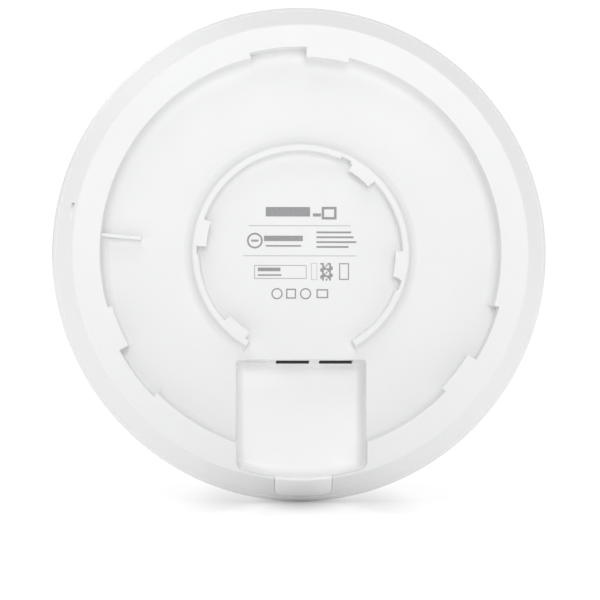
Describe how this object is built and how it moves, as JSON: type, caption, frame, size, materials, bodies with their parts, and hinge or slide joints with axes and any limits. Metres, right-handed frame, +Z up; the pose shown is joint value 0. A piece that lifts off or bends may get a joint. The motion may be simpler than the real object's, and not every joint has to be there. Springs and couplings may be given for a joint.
{
  "type": "ceiling access point",
  "caption": "Round flat access point with a recessed bayonet back, a locating ring, a cable pocket with network jacks and a shallow domed front.",
  "frame": {"origin": "centre of the flat back ring, which is the plane that meets the ceiling or wall", "axes": "+Y out of the mounting side along the disc's axis, +Z up with the cable pocket at the bottom, dome towards -Y"},
  "size_m": [0.22, 0.048, 0.22],
  "materials": {
    "white_cover_plastic": "fine moulded satin",
    "white_dome_plastic": "soft gloss",
    "diffuser_plastic": "translucent, satin",
    "grey_plastic": "satin",
    "black_plastic": "satin",
    "board_green": "solder mask",
    "board_white": "solder mask",
    "ribbon_plastic": "satin",
    "ferrite": "matt",
    "aluminium": "stamped, satin",
    "tinned_steel": "tinned",
    "gold_contacts": "gold flash",
    "antenna_brass": "stamped sheet",
    "screw_steel": "zinc plated",
    "capacitor_can": "can",
    "thermal_pad": "soft, matt",
    "lead_jacket": "smooth jacket",
    "led_lens": "clear lens"
  },
  "bodies": {
    "housing": {"antenna_high_band_1": "antenna_brass", "antenna_high_band_2": "antenna_brass", "antenna_high_band_3": "antenna_brass", "antenna_high_band_4": "antenna_brass", "antenna_lead_high_1": "lead_jacket", "antenna_lead_high_2": "lead_jacket", "antenna_lead_high_3": "lead_jacket", "antenna_lead_high_4": "lead_jacket", "antenna_lead_low_1": "lead_jacket", "antenna_lead_low_2": "lead_jacket", "antenna_lead_low_3": "lead_jacket", "antenna_lead_low_4": "lead_jacket", "antenna_low_band_1": "antenna_brass", "antenna_low_band_2": "antenna_brass", "antenna_low_band_3": "antenna_brass", "antenna_low_band_4": "antenna_brass", "back_cover": "white_cover_plastic", "board_screw_1": "screw_steel", "board_screw_2": "screw_steel", "board_screw_3": "screw_steel", "board_screw_4": "screw_steel", "capacitor_1": "capacitor_can", "capacitor_2": "capacitor_can", "capacitor_3": "capacitor_can", "chip_processor": "black_plastic", "dome_centre_cap": "white_dome_plastic", "dome_cover": "white_dome_plastic", "flash_chip": "black_plastic", "heat_spreader": "aluminium", "jack_contacts_main": "gold_contacts", "jack_contacts_second": "gold_contacts", "jack_insert_main": "black_plastic", "jack_insert_second": "black_plastic", "jack_shell_main": "tinned_steel", "jack_shell_second": "tinned_steel", "led_1": "led_lens", "led_2": "led_lens", "led_3": "led_lens", "led_4": "led_lens", "led_board": "board_white", "led_ribbon": "ribbon_plastic", "light_guide_ring": "diffuser_plastic", "magnetics_main": "black_plastic", "magnetics_second": "black_plastic", "main_board": "board_green", "memory_chip": "black_plastic", "poe_transformer": "ferrite", "power_inductor": "ferrite", "radio_chip_high_band": "black_plastic", "radio_chip_low_band": "black_plastic", "reset_switch": "black_plastic", "shield_can_high_band": "tinned_steel", "shield_can_low_band": "tinned_steel", "shield_can_processor": "tinned_steel", "thermal_pad_high_band": "thermal_pad", "thermal_pad_low_band": "thermal_pad", "thermal_pad_processor": "thermal_pad"},
    "reset_button": {"reset_button": "grey_plastic"},
    "cable_outlet_cover": {"cable_outlet_cover": "white_cover_plastic"}
  },
  "joints": [
    {"name": "reset_press", "type": "slide", "parent": "housing", "child": "reset_button", "axis": [0, 0, 1], "range_m": [0, 0.0008], "stiffness_N_per_m": 600, "springref_m": -0.0006},
    {"name": "outlet_cover_slide", "type": "slide", "parent": "housing", "child": "cable_outlet_cover", "axis": [0, 1, 0], "range_m": [0, 0.02]}
  ]
}
